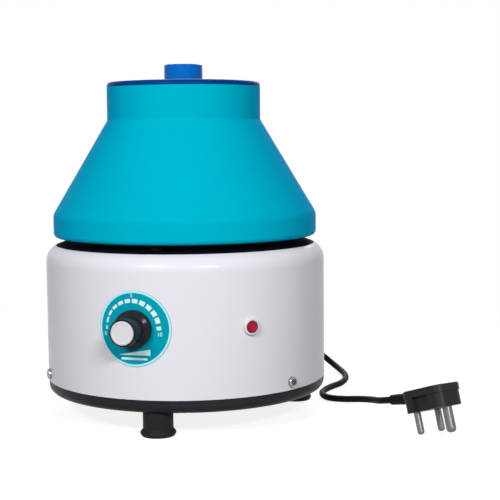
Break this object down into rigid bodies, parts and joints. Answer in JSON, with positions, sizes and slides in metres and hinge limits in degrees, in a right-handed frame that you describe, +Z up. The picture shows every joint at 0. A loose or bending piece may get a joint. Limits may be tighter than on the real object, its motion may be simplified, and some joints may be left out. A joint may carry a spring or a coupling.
{
  "type": "bench centrifuge",
  "caption": "Small round bench centrifuge: a conical angle head with a screwed-down lid spins on a drum-shaped motor body with a speed dial, a pilot lamp and a corded three-pin plug.",
  "frame": {"origin": "on the bench plane, under the spin axis of the head", "axes": "+Z up along the spin axis, -Y towards the front with the speed dial, +X to the right of someone facing it"},
  "size_m": [0.3034, 0.2835, 0.269],
  "materials": {
    "shell_white": "smooth satin white enamel",
    "deck_black": "glossy black",
    "pan_black": "satin black",
    "rubber_black": "matt black rubber",
    "screw_steel": "bright plated",
    "dial_teal": "printed teal plate with white marks",
    "knob_black": "moulded black",
    "cap_grey": "spun pale grey",
    "bezel_white": "moulded white",
    "lens_red": "clear red",
    "cast_alloy": "as cast",
    "steel_plain": "plain machined",
    "iron_core": "dark laminated iron",
    "copper_bars": "bare copper alloy",
    "carbon_black": "moulded holder with carbon brush",
    "terminal_cream": "moulded cream",
    "head_teal": "satin teal lacquer on spun metal",
    "lid_blue": "dark blue lacquer",
    "knob_blue": "glossy blue",
    "sleeve_alloy": "plain drawn tube",
    "cord_black": "smooth black flexible lead",
    "plug_black": "moulded black",
    "pin_nickel": "turned and nickel plated"
  },
  "bodies": {
    "base": {"base_pan": "pan_black", "bearing_bottom": "steel_plain", "bearing_top": "steel_plain", "body_shell": "shell_white", "brush_left": "carbon_black", "brush_right": "carbon_black", "case_screws": "screw_steel", "cord_gland": "rubber_black", "deck_screws": "screw_steel", "dial_plate": "dial_teal", "field_stack": "iron_core", "foot_screws": "screw_steel", "lamp_bezel": "bezel_white", "lamp_lens": "lens_red", "lamp_nut": "screw_steel", "motor_bottom_bell": "cast_alloy", "motor_frame": "steel_plain", "motor_mount_1": "rubber_black", "motor_mount_2": "rubber_black", "motor_mount_3": "rubber_black", "motor_plate": "steel_plain", "motor_top_bell": "cast_alloy", "mount_bolts": "screw_steel", "mount_nuts": "screw_steel", "plug_body": "plug_black", "plug_boot": "rubber_black", "plug_pin_earth": "pin_nickel", "plug_pin_live": "pin_nickel", "plug_pin_neutral": "pin_nickel", "power_cord": "cord_black", "regulator_body": "knob_black", "regulator_nut": "screw_steel", "suction_foot_1": "rubber_black", "suction_foot_2": "rubber_black", "suction_foot_3": "rubber_black", "terminal_block": "terminal_cream", "top_deck": "deck_black"},
    "rotor": {"motor_shaft": "steel_plain", "armature_core": "iron_core", "commutator": "copper_bars", "rotor_hub": "cast_alloy", "head_shell": "head_teal", "head_floor": "sleeve_alloy", "floor_screws": "screw_steel", "plate_screws": "screw_steel", "tube_plate": "sleeve_alloy", "tube_sleeve_1": "sleeve_alloy", "tube_sleeve_2": "sleeve_alloy", "tube_sleeve_3": "sleeve_alloy", "tube_sleeve_4": "sleeve_alloy", "tube_sleeve_5": "sleeve_alloy", "tube_sleeve_6": "sleeve_alloy", "lid_stud": "steel_plain"},
    "lid": {"head_lid": "lid_blue", "knob_washer": "steel_plain"},
    "lid_knob": {"lid_knob": "knob_blue"},
    "speed_knob": {"speed_knob": "knob_black", "knob_cap": "cap_grey", "regulator_spindle": "steel_plain"}
  },
  "joints": [
    {"name": "head_spin", "type": "hinge", "parent": "base", "child": "rotor", "pos_m": [0, 0, 0.1], "axis": [0, 0, 1], "continuous": true},
    {"name": "lid_lift", "type": "slide", "parent": "rotor", "child": "lid", "axis": [0, 0, 1], "range_m": [0, 0.25]},
    {"name": "lid_knob_turn", "type": "hinge", "parent": "lid", "child": "lid_knob", "pos_m": [0, 0, 0.26], "axis": [0, 0, 1], "range_deg": [0, 1080]},
    {"name": "speed_turn", "type": "hinge", "parent": "base", "child": "speed_knob", "pos_m": [-0.03508, -0.10188, 0.0795], "axis": [0.3256, 0.9455, 0], "range_deg": [0, 180]}
  ]
}
